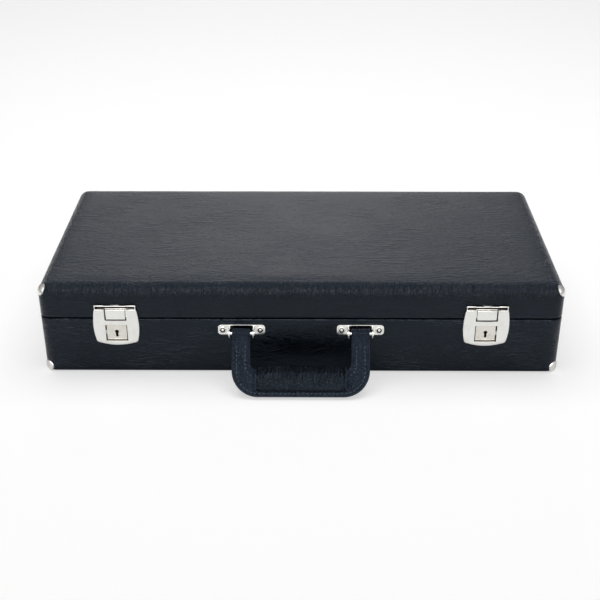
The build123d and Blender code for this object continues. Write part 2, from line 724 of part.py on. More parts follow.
def u_shape(start, outer, inner, drop, bar_top, outer_corner, inner_corner, thickness):
    """A flat U in the handle's plane: two legs from start down to a bar that ends at drop."""
    with BuildSketch(handle_plane.offset(-thickness / 2)) as outline:
        with Locations((0, -start)):
            Rectangle(2 * outer, drop - start, align=(Align.CENTER, Align.MAX))
        fillet(vertices().group_by(Axis.Y)[0], outer_corner)
        with Locations((0, -start)):
            Rectangle(2 * inner, bar_top - start, align=(Align.CENTER, Align.MAX), mode=Mode.SUBTRACT)
        fillet(vertices().filter_by(lambda v: abs(v.Y + bar_top) < 0.01), inner_corner)
    extrude(outline.sketch, amount=thickness)


with BuildPart() as handle_core:
    u_shape(core_start, strap_outer - core_margin, strap_inner + core_margin, strap_drop - core_margin,
            strap_bar_top + core_margin, strap_outer_corner - core_margin,
            strap_inner_corner + core_margin, core_thickness)
pieces["handle_core"] = handle_core

with BuildPart() as handle_strap:
    u_shape(0, strap_outer, strap_inner, strap_drop, strap_bar_top, strap_outer_corner,
            strap_inner_corner, strap_thickness)
    for x in (-bracket_x, bracket_x):
        rod_on_front(x, -strap_width / 2, strap_width / 2, pivot_proud, pivot_z, strap_loop_radius)
        rod_on_front(x, -strap_width, strap_width, pivot_proud, pivot_z,
                     handle_pin_radius + handle_pin_running_gap, Mode.SUBTRACT)
    add(handle_core.part, mode=Mode.SUBTRACT)
pieces["handle_strap"] = handle_strap

with BuildPart() as handle_sleeve:
    for share in (-1, -0.5, 0, 0.5, 1):
        top = sleeve_top_middle + (sleeve_top_end - sleeve_top_middle) * share * share
        half = (sleeve_thickness_middle - (sleeve_thickness_middle - sleeve_thickness_end) * share * share) / 2
        with BuildSketch(Plane(origin=handle_plane.from_local_coords(
                (share * sleeve_length / 2, -(top + sleeve_bottom) / 2, 0)),
                x_dir=-handle_plane.y_dir, z_dir=(-1, 0, 0))):
            Ellipse((sleeve_bottom - top) / 2, half)
    loft()
    add(handle_strap.part, mode=Mode.SUBTRACT)
    add(handle_core.part, mode=Mode.SUBTRACT)
pieces["handle_sleeve"] = handle_sleeve

for name, piece in pieces.items():
    piece.part.label = name
    export_step(piece.part, f"parts/{name}.step")
print(len(pieces), "pieces")
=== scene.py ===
import bmesh
import bpy
from math import atan2, cos, hypot, pi, radians, sin
from mathutils import Euler, Matrix, Vector, noise


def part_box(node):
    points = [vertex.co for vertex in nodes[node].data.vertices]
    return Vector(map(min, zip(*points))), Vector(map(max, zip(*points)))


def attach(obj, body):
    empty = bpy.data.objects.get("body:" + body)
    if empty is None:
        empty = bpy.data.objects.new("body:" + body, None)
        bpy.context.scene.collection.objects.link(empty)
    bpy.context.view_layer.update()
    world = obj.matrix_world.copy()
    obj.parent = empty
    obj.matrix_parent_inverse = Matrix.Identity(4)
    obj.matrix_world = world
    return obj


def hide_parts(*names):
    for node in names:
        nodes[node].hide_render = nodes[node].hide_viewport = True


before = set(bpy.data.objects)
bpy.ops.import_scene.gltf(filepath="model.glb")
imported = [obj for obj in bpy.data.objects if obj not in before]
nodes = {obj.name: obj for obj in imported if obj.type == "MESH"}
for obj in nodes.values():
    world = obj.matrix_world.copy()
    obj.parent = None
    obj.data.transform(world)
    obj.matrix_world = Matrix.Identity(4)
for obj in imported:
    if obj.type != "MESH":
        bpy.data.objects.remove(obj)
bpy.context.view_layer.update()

# Studio: a pale floor in a white surround, with soft lamps overhead, behind and at both sides.
# The camera stands a metre in front of the case and looks down on it at 29 degrees.


def choose(*pieces):
    """Selects these pieces alone, the first one active."""
    bpy.ops.object.select_all(action="DESELECT")
    for piece in pieces:
        piece.select_set(True)
    if pieces:
        bpy.context.view_layer.objects.active = pieces[0]


def settle():
    """Applies the chosen piece's place, turn and size."""
    bpy.ops.object.transform_apply(location=True, rotation=True, scale=True)


def start(name, add, **how):
    """A new piece from one of Blender's own shapes."""
    choose()
    add(**how)
    piece = bpy.context.object
    piece.name = name
    return piece


def new_finish(name):
    """An empty material and its node tree."""
    finish = bpy.data.materials.new(name)
    finish.use_nodes = True
    finish.node_tree.nodes.clear()
    return finish, finish.node_tree


def feed(tree, socket, value):
    """Sets a socket, or wires it to a node's first output or its named one."""
    if isinstance(value, bpy.types.Node):
        value = (value, 0)
    if isinstance(value, tuple) and isinstance(value[0], bpy.types.Node):
        tree.links.new(value[0].outputs[value[1]], socket)
    else:
        socket.default_value = value


def put(tree, kind, settings=None, *in_order, **by_name):
    """A shader node, its sockets fed in order or by name."""
    node = tree.nodes.new(kind if kind.startswith("Node") else "ShaderNode" + kind)
    for key, value in (settings or {}).items():
        setattr(node, key, value)
    for place, value in enumerate(in_order):
        feed(tree, node.inputs[place], value)
    for key, value in by_name.items():
        feed(tree, node.inputs[key.replace("_", " ")], value)
    return node


def maths(tree, operation, *values):
    """An operation on values."""
    return put(tree, "Math", {"operation": operation}, *values)


def product(tree, first, *others):
    for other in others:
        first = maths(tree, "MULTIPLY", first, other)
    return first


def curve_of(tree, value, low, high, to_low=0.0, to_high=1.0):
    """A smooth step of a value between low and high."""
    return put(tree, "MapRange", {"interpolation_type": "SMOOTHSTEP"}, value,
               From_Min=low, From_Max=high, To_Min=to_low, To_Max=to_high)


studio_floor = start("studio_floor", bpy.ops.mesh.primitive_plane_add, size=9, location=(0, 0, -0.0003))
settle()
floor_finish, tree = new_finish("pale_floor")
ray = put(tree, "LightPath")
painted, mirrored, shaded = (put(tree, "BsdfDiffuse", Color=(grey, grey, grey, 1))
                             for grey in (0.66, 0.98, 0.50))
glow = put(tree, "Emission", Color=(1, 1, 1, 1), Strength=0.56)
seen = put(tree, "AddShader", None, shaded, glow)
reflected = maths(tree, "ADD", (ray, "Is Glossy Ray"), (ray, "Is Transmission Ray"))
whiter = maths(tree, "ADD", reflected, 0.5)
whiter.use_clamp = True
unseen = put(tree, "MixShader", None, whiter, painted, mirrored)
put(tree, "OutputMaterial", Surface=put(tree, "MixShader", None, (ray, "Is Camera Ray"), unseen, seen))
studio_floor.data.materials.append(floor_finish)

surround = bpy.data.worlds.new("white_surround")
bpy.context.scene.world = surround
surround.use_nodes = True
tree = surround.node_tree
tree.nodes.clear()
ray = put(tree, "LightPath")
aim = put(tree, "SeparateXYZ", None, (put(tree, "TexCoord"), "Generated"))
off_middle = maths(tree, "ABSOLUTE", maths(tree, "ADD", (aim, "X"), 0.03))
back_wall = product(tree, curve_of(tree, (aim, "Z"), 0.482, 0.530, 2.28, 0.0),
                    curve_of(tree, (aim, "Z"), 0.385, 0.438, 0.44, 1.0),
                    curve_of(tree, off_middle, 0.04, 0.42, 1.0, 0.2))
off_strip = maths(tree, "ABSOLUTE", maths(tree, "ADD", (aim, "Y"), 0.66))
ceiling = maths(tree, "ADD", curve_of(tree, (aim, "Y"), -0.2, 0.75, 1.15, 0.46),
                curve_of(tree, off_strip, 0.04, 0.16, 3.4, 0.0))
ceiling = product(tree, ceiling, curve_of(tree, off_middle, 0.12, 0.60, 1.1, 0.45),
                  curve_of(tree, (aim, "Y"), -0.92, -0.80, 0.5, 1.0))
backdrop = put(tree, "Background", Color=(1, 0.96, 0.945, 1),
               Strength=maths(tree, "MAXIMUM", back_wall, ceiling))
lit, white = (put(tree, "Background", Color=(1, 1, 1, 1), Strength=level) for level in (0.23, 1.0))
reflected = maths(tree, "ADD", (ray, "Is Glossy Ray"), (ray, "Is Transmission Ray"))
reflected.use_clamp = True
unseen = put(tree, "MixShader", None, reflected, lit, backdrop)
put(tree, "OutputWorld", Surface=put(tree, "MixShader", None, (ray, "Is Camera Ray"), unseen, white))

for name, place, width, depth, power in (("overhead", (0.0, 0.25, 1.5), 1.8, 1.2, 18.5),
                                         ("behind", (0.0, 2.4, 1.08), 2.0, 1.1, 7.0),
                                         ("left", (-1.4, -0.9, 0.9), 0.8, 0.8, 2.4),
                                         ("right", (1.4, -0.9, 0.9), 0.8, 0.8, 2.4)):
    lamp = start("lamp_" + name, bpy.ops.object.light_add, type="AREA", location=place)
    lamp.data.shape = "RECTANGLE"
    lamp.data.size = width
    lamp.data.size_y = depth
    lamp.data.energy = power
    lamp.visible_glossy = name in ("left", "right")
    lamp.rotation_euler = (Vector((0, 0, 0.04)) - Vector(place)).to_track_quat("-Z", "Y").to_euler()

look_down, look_aside, camera_roll = radians(29.27), radians(0.52), radians(-0.11)
bpy.ops.object.camera_add(location=(0.0069, -0.964, 0.5543))
camera = bpy.context.object
camera.rotation_mode = "QUATERNION"
camera.rotation_quaternion = (Euler((radians(90) - look_down, 0, look_aside)).to_matrix()
                              @ Matrix.Rotation(camera_roll, 3, "Z")).to_quaternion()
camera.data.sensor_width = 36
camera.data.lens = 64.77
bpy.context.scene.camera = camera
bpy.context.scene.view_settings.view_transform = "Standard"

# Plywood box: birch boards and panels, glued and pinned at the corners, that everything is fixed to.
# Bare where no covering or lining reaches; the grain runs along the case.
plywood, tree = new_finish("birch_plywood")


def sum_of(tree, first, second, share):
    """The first value plus a share of the second."""
    return maths(tree, "MULTIPLY_ADD", second, share, first)


def two_tones(tree, share, first, second):
    """A colour between two."""
    colour = put(tree, "Mix", {"data_type": "RGBA"}, share)
    colour.inputs[6].default_value = (*first, 1)
    colour.inputs[7].default_value = (*second, 1)
    return colour, 2


def skin_of(tree, height=None, strength=1.0, relief=0.0, **values):
    """A material's surface, with a bump from a height."""
    if height is not None:
        values["Normal"] = put(tree, "Bump", Strength=strength, Distance=relief, Height=height)
    put(tree, "OutputMaterial", Surface=put(tree, "BsdfPrincipled", **values))


def cloud(tree, place, scale, detail, **values):
    """The value of a cloudy texture at a place."""
    return put(tree, "TexNoise", Vector=place, Scale=scale, Detail=detail, **values), "Fac"


def in_object(tree):
    """The place of a point in its own object."""
    return put(tree, "TexCoord"), "Object"


def finish_node(name, finish):
    """Gives a solid of the frame its material."""
    nodes[name].data.materials.clear()
    nodes[name].data.materials.append(finish)


place = in_object(tree)
along = put(tree, "Mapping", Vector=place, Scale=(5, 150, 150))
grain_lines = cloud(tree, along, 1.0, 5.0, Distortion=0.4)
figure = sum_of(tree, grain_lines, cloud(tree, place, 9.0, 3.0), 0.4)
skin_of(tree, grain_lines, 0.5, 0.0001, IOR=1.45,
        Base_Color=two_tones(tree, curve_of(tree, figure, 0.5, 0.9), (0.42, 0.28, 0.15), (0.66, 0.50, 0.32)),
        Roughness=curve_of(tree, figure, 0.4, 1.0, 0.72, 0.5))
for name in nodes:
    if name.endswith(("_board", "_panel")):
        finish_node(name, plywood)

# Lid covering: one piece of black-blue leathercloth glued over the plywood lid, drawn tight over the
# rounded edges, where it creases, and turned in under the rim. Fine wrinkles run along the case.
lid_low, lid_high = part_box("lid_covering")
half_length = 0.24
half_depth = 0.1125
corner = 0.0105
lid_edge = 0.010
rim_round = 0.0013
cloth = 0.0009
turn_in = 0.0072


def mode(kind):
    bpy.ops.object.mode_set(mode=kind)


def smooth(angle):
    """Shades smooth, except at edges sharper than an angle in degrees."""
    bpy.ops.object.shade_smooth_by_angle(angle=radians(angle))


def block(low, high):
    """A block between two corners, alone or added in edit mode."""
    low, high = Vector(low), Vector(high)
    bpy.ops.mesh.primitive_cube_add(size=1, location=(low + high) / 2, scale=high - low)


def start_block(name, low, high):
    """A new block, in edit mode."""
    piece = start(name, block, low=low, high=high)
    piece.data.name = name
    settle()
    mode("EDIT")
    return piece


def pick(kind, wanted):
    """Selects the faces, edges or vertices that pass a test."""
    bpy.ops.mesh.select_mode(type={"faces": "FACE", "edges": "EDGE", "verts": "VERT"}[kind])
    bpy.ops.mesh.select_all(action="DESELECT")
    shape = bmesh.from_edit_mesh(bpy.context.object.data)
    for part in getattr(shape, kind):
        if wanted(part):
            part.select = True
    shape.select_flush_mode()
    bmesh.update_edit_mesh(bpy.context.object.data)


def remove_faces(wanted):
    """Deletes the faces that pass a test."""
    pick("faces", wanted)
    bpy.ops.mesh.delete(type="FACE")


def middle(part):
    """The middle of an edge or face."""
    return sum((v.co for v in part.verts), Vector()) / len(part.verts)


def round_edges(radius, steps, wanted):
    """Rounds the edges that pass a test."""
    pick("edges", wanted)
    bpy.ops.mesh.bevel(offset=radius, segments=steps, affect="EDGES", clamp_overlap=False)


def round_uprights(radius, steps):
    """Rounds the upright edges of a block."""
    round_edges(radius, steps, lambda e: abs(e.verts[0].co.z - e.verts[1].co.z) > 0.005)


def take_all():
    """Selects all, in edit mode."""
    bpy.ops.mesh.select_all(action="SELECT")


def pull(x, y, z):
    """Draws out what is selected, along each axis."""
    bpy.ops.mesh.extrude_region_move(TRANSFORM_OT_translate={"value": (x, y, z)})


def cut_at(at, normal, **sides):
    """Cuts at a plane, and clears a side where asked."""
    take_all()
    bpy.ops.mesh.bisect(plane_co=at, plane_no=normal, **sides)


def slice_block(axis, places):
    """Cuts across an axis at each place."""
    normal = Vector([float(k == axis) for k in range(3)])
    for place in places:
        cut_at(normal * place, normal)


def finer_cloth(cell, cuts):
    """Divides a covering finely, for its wrinkles."""
    for axis, half in enumerate((half_length, half_depth)):
        slice_block(axis, [cell * step for step in range(int(-half / cell), int(half / cell) + 1)])
    pick("edges", lambda e: e.calc_length() > 0.006)
    bpy.ops.mesh.subdivide(number_cuts=cuts)


def cloth_height(u, v):
    """Height of the wrinkles on the flat cloth, from 0 in a crease to 1."""
    sway = 0.012 * noise.noise(Vector((u * 9, v * 9, 3)))
    long_wave = noise.noise(Vector((u * 28, (v + sway) * 110, 7)))
    short_wave = noise.noise(Vector((u * 60, (v + sway) * 210, 11)))
    wrinkled = min(1.0, abs(long_wave) * 1.6) * 0.6 + min(1.0, abs(short_wave) * 1.6) * 0.4
    return 1 - (1 - wrinkled) * (0.45 + 0.55 * min(1.0, abs(u) / 0.14))


def apply_all(piece):
    """Applies a piece's modifiers."""
    choose(piece)
    for modifier in list(piece.modifiers):
        bpy.ops.object.modifier_apply(modifier=modifier.name)


def thicken(piece, thickness):
    """Gives a sheet its thickness, inward from the side that shows."""
    wall = piece.modifiers.new("thickness", "SOLIDIFY")
    wall.thickness = thickness
    wall.offset = -1
    apply_all(piece)


def skin_points(piece):
    """Each point with its outward direction, noted before any moves."""
    return [(v, v.normal.copy()) for v in piece.data.vertices]


def lid_flat(at, side, drop):
    """Where a point of the lid lay on the flat cloth."""
    over_x = abs(side.x) - (half_length - lid_edge)
    over_y = abs(side.y) - (half_depth - lid_edge)
    if over_y >= over_x:
        return at.x, at.y + (drop if side.y > 0 else -drop)
    return at.x + (drop if side.x > 0 else -drop), at.y


def within(value):
    """The value, kept from 0 to 1."""
    return max(0.0, min(1.0, value))


crown_start = 0.0345
crown_width = 0.0165
crown_slope = 0.045
crown_most = 0.00074
lid_wrinkle = 0.00018


def crown_drop(beyond):
    """How far the padded top falls near an edge."""
    along = max(0.0, (beyond + crown_start) / crown_width)
    if along <= 1.0:
        return crown_slope * crown_width / 3 * along ** 3
    return min(crown_most, crown_slope * crown_width * (along - 2 / 3))


def step_in(*steps):
    """Insets the chosen faces, each time by a width and a rise."""
    for width, rise in steps:
        bpy.ops.mesh.inset(thickness=width, depth=rise)


def turn_under(up, depth):
    """Turns a covering in at its rim, facing up (1) or down (-1)."""
    pick("faces", lambda f: f.normal.z * up > 0.9 and f.calc_area() > 0.05)
    step_in((turn_in - rim_round, 0))
    pull(0, 0, -up * depth)
    bpy.ops.mesh.delete(type="FACE")


def fit(piece, finish, body, slot, *replaced):
    """Gives a piece its material, and puts it on a body in place of solids."""
    piece.data.materials.append(finish)
    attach(piece, body)
    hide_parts(*replaced)


lid_low.z += 0.0004
lid_cloth = start_block("lid_cloth", (-half_length, -half_depth, lid_low.z),
                        (half_length, half_depth, lid_high.z))
round_uprights(corner, 7)
round_edges(lid_edge, 7, lambda e: middle(e).z > lid_high.z - 0.0001)
round_edges(rim_round, 2, lambda e: middle(e).z < lid_low.z + 0.0001)
turn_under(-1, 0.0052)
finer_cloth(0.032, 9)
mode("OBJECT")
for v, away in skin_points(lid_cloth):
    if v.co.z > lid_low.z + 0.0015:
        wrinkle = 1 - cloth_height(*lid_flat(v.co, v.co, lid_high.z - v.co.z))
        v.co -= away * lid_wrinkle * wrinkle
        fall = max(crown_drop(abs(v.co.x) - half_length), crown_drop(abs(v.co.y) - half_depth))
        v.co.z -= fall * within((v.co.z - 0.072) / 0.014)
thicken(lid_cloth, cloth)
smooth(50)


def mark(piece, name, value_of):
    """Stores a value at each point."""
    values = piece.data.attributes.new(name, "FLOAT", "POINT")
    for v in piece.data.vertices:
        values.data[v.index].value = value_of(v.co)


def lay_out(piece, place_of):
    """Stores where each point lay on the flat cloth, in metres."""
    flat = piece.data.uv_layers.new(name="cloth")
    for face in piece.data.polygons:
        for loop in face.loop_indices:
            co = piece.data.vertices[piece.data.loops[loop].vertex_index].co
            flat.data[loop].uv = place_of(co, face.center)


lay_out(lid_cloth, lambda co, centre: lid_flat(co, centre, lid_high.z - co.z))


def lid_fold(co):
    """How far a point lies in the gathers of the lid's edge."""
    edge = max(abs(co.x) - (half_length - lid_edge), abs(co.y) - (half_depth - lid_edge))
    return within((edge + 0.002) / 0.006) * within((0.014 - (lid_high.z - co.z)) / 0.006)


mark(lid_cloth, "fold", lid_fold)


def ridged(tree, place, scale, detail, sharp):
    """Creases: a stretched cloud whose middle values are valleys."""
    stretch = put(tree, "Mapping", Vector=place, Scale=scale)
    shape = cloud(tree, stretch, 1.0, detail, Roughness=0.55, Distortion=0.25)
    return curve_of(tree, maths(tree, "ABSOLUTE", maths(tree, "SUBTRACT", shape, 0.5)), 0.0, sharp)


def new_group(name, takes, gives):
    """An empty node group and its entry."""
    group = bpy.data.node_groups.new(name, "ShaderNodeTree")
    for way, sockets in (("INPUT", takes), ("OUTPUT", gives)):
        for socket in sockets:
            kind = "NodeSocketVector" if socket == "Place" else "NodeSocketFloat"
            group.interface.new_socket(socket, in_out=way, socket_type=kind)
    return group, group.nodes.new("NodeGroupInput")


grain, entry = new_group("leathercloth_grain", ("Place", "Fold"), ("Height", "Crease", "Tone"))
spot = (entry, "Place")
swayed = put(grain, "VectorMath", {"operation": "MULTIPLY_ADD"},
             (cloud(grain, spot, 8.0, 2.0)[0], "Color"), (0.03, 0.03, 0), spot)
wide = ridged(grain, swayed, (42, 225, 1), 4.0, 0.15)
narrow = ridged(grain, swayed, (150, 430, 1), 2.0, 0.16)
pebble = put(grain, "TexVoronoi", {"feature": "SMOOTH_F1"}, Vector=spot, Scale=950.0,
             Smoothness=0.6)
long_crease = ridged(grain, swayed, (9, 22, 1), 1.0, 0.012)
gather = maths(grain, "SUBTRACT", ridged(grain, spot, (300, 70, 1), 2.0, 0.18), 1.0)
gather = product(grain, gather, (entry, "Fold"))
patches = cloud(grain, spot, 17.0, 2.0)
wide_here = product(grain, wide, curve_of(grain, patches, 0.40, 0.62, 0.05, 0.75))
along_case = put(grain, "SeparateXYZ", None, spot)
calmer = curve_of(grain, maths(grain, "ABSOLUTE", (along_case, "X")), 0.02, 0.15, 0.42, 1.1)
height = product(grain, sum_of(grain, wide_here, narrow, 0.30), calmer)
for part, share in (((pebble, "Distance"), -0.16), (long_crease, 0.15), (gather, 2.6)):
    height = sum_of(grain, height, part, share)
put(grain, "NodeGroupOutput", Height=height, Crease=sum_of(grain, wide_here, long_crease, 0.5),
    Tone=cloud(grain, spot, 11.0, 3.0, Roughness=0.5))


def leathercloth(name, deep, away_from_creases, rough_low, rough_high, relief, refraction=1.29, tint=(1, 1, 1)):
    """Leathercloth with grain, creases and slow changes of gloss, its colour painted darker along the creases
    as shade.
    """
    finish, tree = new_finish(name)
    cover = put(tree, "Group", {"node_tree": grain},
                Place=(put(tree, "UVMap", {"uv_map": "cloth"}), "UV"),
                Fold=(put(tree, "Attribute", {"attribute_name": "fold"}), "Fac"))
    # The colour is painted darker along the creases, as the shade that falls in them.
    skin_of(tree, (cover, "Height"), 1.0, relief, IOR=refraction, Specular_Tint=(*tint, 1),
            Base_Color=two_tones(tree, curve_of(tree, (cover, "Crease"), 0.0, 0.9), deep, away_from_creases),
            Roughness=curve_of(tree, (cover, "Tone"), 0.3, 0.7, rough_low, rough_high))
    return finish


lid_finish = leathercloth("lid_leathercloth", (0.0078, 0.0135, 0.0225), (0.0125, 0.0198, 0.0315),
                          0.13, 0.20, 0.00030, tint=(0.90, 0.97, 1.0))
fit(lid_cloth, lid_finish, "lid", "lid_leathercloth", "lid_covering")

# Base wall covering: a strip of the same leathercloth round the four walls, its seam in the middle of
# the back, turned over the rim and glued down inside behind the inner frame.
base_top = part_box("base_wall_covering")[1].z - 0.0003
base_edge = 0.0025
seam_height = 0.0034
base_wrinkle = 0.00012
rim_inside = 0.010


def strip_length(x, y):
    """How far along the strip a point of the wall lies."""
    straight_x = half_length - corner
    straight_y = half_depth - corner
    over_x = max(0.0, abs(x) - straight_x)
    over_y = max(0.0, abs(y) - straight_y)
    quarter = corner * pi / 2
    if y < 0 and over_x == 0:
        along = abs(x)
    elif y < 0 and over_y > 0:
        along = straight_x + corner * atan2(over_x, over_y)
    elif over_y == 0:
        along = straight_x + quarter + y + straight_y
    elif over_x > 0:
        along = straight_x + quarter + 2 * straight_y + corner * atan2(over_y, over_x)
    else:
        along = straight_x + 2 * quarter + 2 * straight_y + straight_x - abs(x)
    return along if x > 0 else -along


def start_base(name):
    """The base's outside as a rounded block, in edit mode."""
    piece = start_block(name, (-half_length, -half_depth, 0), (half_length, half_depth, base_top))
    round_uprights(corner, 7)
    round_edges(base_edge, 3, lambda e: middle(e).z < 0.0001)
    return piece


base_cloth = start_base("base_cloth")
round_edges(rim_round, 2, lambda e: middle(e).z > base_top - 0.0001)
turn_under(1, rim_inside)
cut_at((0, 0, seam_height), (0, 0, 1), clear_inner=True)
finer_cloth(0.032, 9)
mode("OBJECT")
for v, away in skin_points(base_cloth):
    outside = max(abs(v.co.x) - half_length, abs(v.co.y) - half_depth) > -0.004
    if outside and seam_height + 0.001 < v.co.z < base_top - 0.0015:
        v.co -= away * base_wrinkle * (1 - cloth_height(strip_length(v.co.x, v.co.y), v.co.z))
thicken(base_cloth, cloth)
smooth(50)
lay_out(base_cloth, lambda co, centre: (strip_length(abs(co.x), co.y) * (1 if centre.x > 0 else -1), co.z))
# The base's cloth gets a far darker colour than the lid's, a painted shade, though it is the same
# leathercloth.
base_painted_shade_finish = leathercloth("base_leathercloth", (0.0008, 0.0012, 0.0022), (0.003, 0.0045, 0.0075),
                           0.15, 0.25, 0.0006, refraction=1.41, tint=(0.62, 0.79, 1.0))
fit(base_cloth, base_painted_shade_finish, "base", "base_leathercloth", "base_wall_covering")

# Base bottom covering: a flat piece of the same leathercloth glued under the bottom panel, its edge
# rounded up to meet the strip on the walls. The case lies on it.
bottom_cloth = start_base("bottom_cloth")
cut_at((0, 0, seam_height), (0, 0, 1), clear_outer=True)
finer_cloth(0.032, 3)
mode("OBJECT")
thicken(bottom_cloth, cloth)
smooth(50)
lay_out(bottom_cloth, lambda co, centre: (co.x, co.y))
fit(bottom_cloth, base_painted_shade_finish, "base", "base_leathercloth", "base_bottom_covering")

# Inner frame: four plush-covered strips glued inside the base, standing above its rim, which guide the
# lid as it closes. The plush is a short wine-red pile.
plush, tree = new_finish("wine_plush")
place = in_object(tree)
nap = cloud(tree, place, 16.0, 4.0, Roughness=0.6, Distortion=0.5)
fibre = cloud(tree, place, 1700.0, 2.0)
lay = sum_of(tree, nap, fibre, 0.35)
skin_of(tree, sum_of(tree, cloud(tree, place, 320.0, 3.0), fibre, 0.8), 0.8, 0.0005, IOR=1.25,
        Base_Color=two_tones(tree, curve_of(tree, lay, 0.38, 1.0), (0.10, 0.008, 0.017),
                             (0.215, 0.024, 0.044)),
        Roughness=curve_of(tree, nap, 0.3, 0.7, 0.82, 0.95),
        Sheen_Weight=0.45, Sheen_Roughness=0.4, Sheen_Tint=(0.9, 0.45, 0.5, 1))


def soften(piece, cell, depth):
    """Makes a block in edit mode uneven, as plush over padding is."""
    points = [v.co.copy() for v in bmesh.from_edit_mesh(piece.data).verts]
    for axis in range(3):
        low, high = min(co[axis] for co in points), max(co[axis] for co in points)
        steps = int((high - low) / cell)
        slice_block(axis, [low + (high - low) * k / steps for k in range(1, steps)])
    mode("OBJECT")
    for v, away in skin_points(piece):
        v.co += away * depth * (noise.noise(v.co * 60) + 0.5 * noise.noise(v.co * 190))
    smooth(50)


def plush_board(name, solid, radius, steps, cell, depth):
    """A board wrapped in plush, its long top edges rounded."""
    low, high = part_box(solid)
    board = start_block(name, low, high)
    round_edges(radius, steps, lambda e: middle(e).z > high.z - 0.0001 and e.calc_length() > 0.03)
    soften(board, cell, depth)
    fit(board, plush, "base", "plush", solid)


for side in ("front", "back", "left", "right"):
    plush_board("frame_strip_" + side, "inner_frame_" + side, 0.0012, 3, 0.011, 0.00012)

# Floor pad: a sheet of felt padding under plush, laid on the bottom panel. It puffs up a little between
# the dividers that stand on it.
low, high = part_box("floor_pad")
divider_low, divider_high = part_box("divider_rear")
floor_pad = start_block("floor_padding", low, high)
round_edges(0.002, 3, lambda e: middle(e).z > high.z - 0.0001)
soften(floor_pad, 0.0063, 0.0003)
lane = (divider_low.y + divider_high.y) / 2
puff = 0.0009
for v in floor_pad.data.vertices:
    if v.co.z > high.z - 0.001:
        across = (v.co.y - round(v.co.y / (2 * lane)) * 2 * lane) / lane
        v.co.z += puff * max(0.0, 1 - across ** 4)
fit(floor_pad, plush, "base", "plush", "floor_pad")

# Dividers and cross wall: thin boards wrapped in plush, with rounded tops, which part the inside into
# three long channels and close off the room for small things.
for name in ("divider_front", "divider_rear", "cross_wall"):
    plush_board(name + "_plush", name, 0.0024, 4, 0.009, 0.0002)

# Saddles: padded blocks hollowed to the roundness of an instrument joint, wrapped in plush and glued
# between the dividers. One is made and the other four are copies.


def copy_of(piece):
    """A copy of a piece, with its own mesh."""
    copied = piece.copy()
    copied.data = piece.data.copy()
    bpy.context.collection.objects.link(copied)
    return copied


def place_copy(piece, name, place, flipped=False):
    """A copy moved to its place, mirrored for the other hand."""
    copied = copy_of(piece)
    copied.name = name
    choose(copied)
    copied.location = place
    if flipped:
        copied.scale = (-1, 1, 1)
    settle()
    if flipped:
        mode("EDIT")
        take_all()
        bpy.ops.mesh.flip_normals()
        mode("OBJECT")
    return copied


def drum(radius, depth, place, axis, steps):
    """A cylinder along X or Y, alone or added in edit mode."""
    turn = {"X": (0, pi / 2, 0), "Y": (pi / 2, 0, 0)}[axis]
    if bpy.context.mode == "OBJECT":
        choose()
    bpy.ops.mesh.primitive_cylinder_add(vertices=steps, radius=radius, depth=depth, rotation=turn,
                                        location=place)
    return bpy.context.object


def carve(piece, cutter):
    """Cuts one piece's shape out of another."""
    cut = piece.modifiers.new("cut", "BOOLEAN")
    cut.operation = "DIFFERENCE"
    cut.solver = "EXACT"
    cut.object = cutter


def crisp_edges(piece, width, steps=2, sharp=35):
    """Rounds the edges sharper than an angle in degrees."""
    bevel = piece.modifiers.new("edges", "BEVEL")
    bevel.width = width
    bevel.segments = steps
    bevel.limit_method = "ANGLE"
    bevel.angle_limit = radians(sharp)
    apply_all(piece)
    smooth(35)


low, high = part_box("saddle_middle_left")
saddle_x = (low.x + high.x) / 2
low.x, high.x = low.x - saddle_x, high.x - saddle_x
saddle = start_block("saddle", low, high)
slice_block(0, [-0.008, -0.004, 0, 0.004, 0.008])
slice_block(1, [0.0045 * k for k in range(-6, 7)])
slice_block(2, [low.z + 0.005 * k for k in range(1, 6)])
mode("OBJECT")
bore = drum(0.024, 0.04, (0, 0, low.z + 0.033), "X", 72)
carve(saddle, bore)
crisp_edges(saddle, 0.0016, 3, 25)
bpy.data.objects.remove(bore)
for v, away in skin_points(saddle):
    v.co += away * 0.00025 * noise.noise(v.co * 120)
smooth(60)
for name in ("rear_left", "rear_right", "middle_left", "middle_right", "front"):
    low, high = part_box("saddle_" + name)
    made = place_copy(saddle, "saddle_pad_" + name, ((low.x + high.x) / 2, (low.y + high.y) / 2, 0))
    fit(made, plush, "base", "plush", "saddle_" + name)
bpy.data.objects.remove(saddle)

# Lid lining: one piece of plush glued inside the lid, over the top panel and down the four boards to
# just above the inner frame.
low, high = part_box("lid_lining")
lining_wall = 0.0008
inner = Vector((lining_wall, lining_wall, 0))
lining = start_block("lid_lining_cloth", low + inner, high - inner - Vector((0, 0, lining_wall)))
round_uprights(0.0015, 2)
round_edges(0.0015, 2, lambda e: middle(e).z > high.z - 0.001)
remove_faces(lambda f: f.normal.z < -0.9)
take_all()
bpy.ops.mesh.flip_normals()
soften(lining, 0.011, 0.00015)
thicken(lining, lining_wall)
fit(lining, plush, "lid", "plush", "lid_lining")

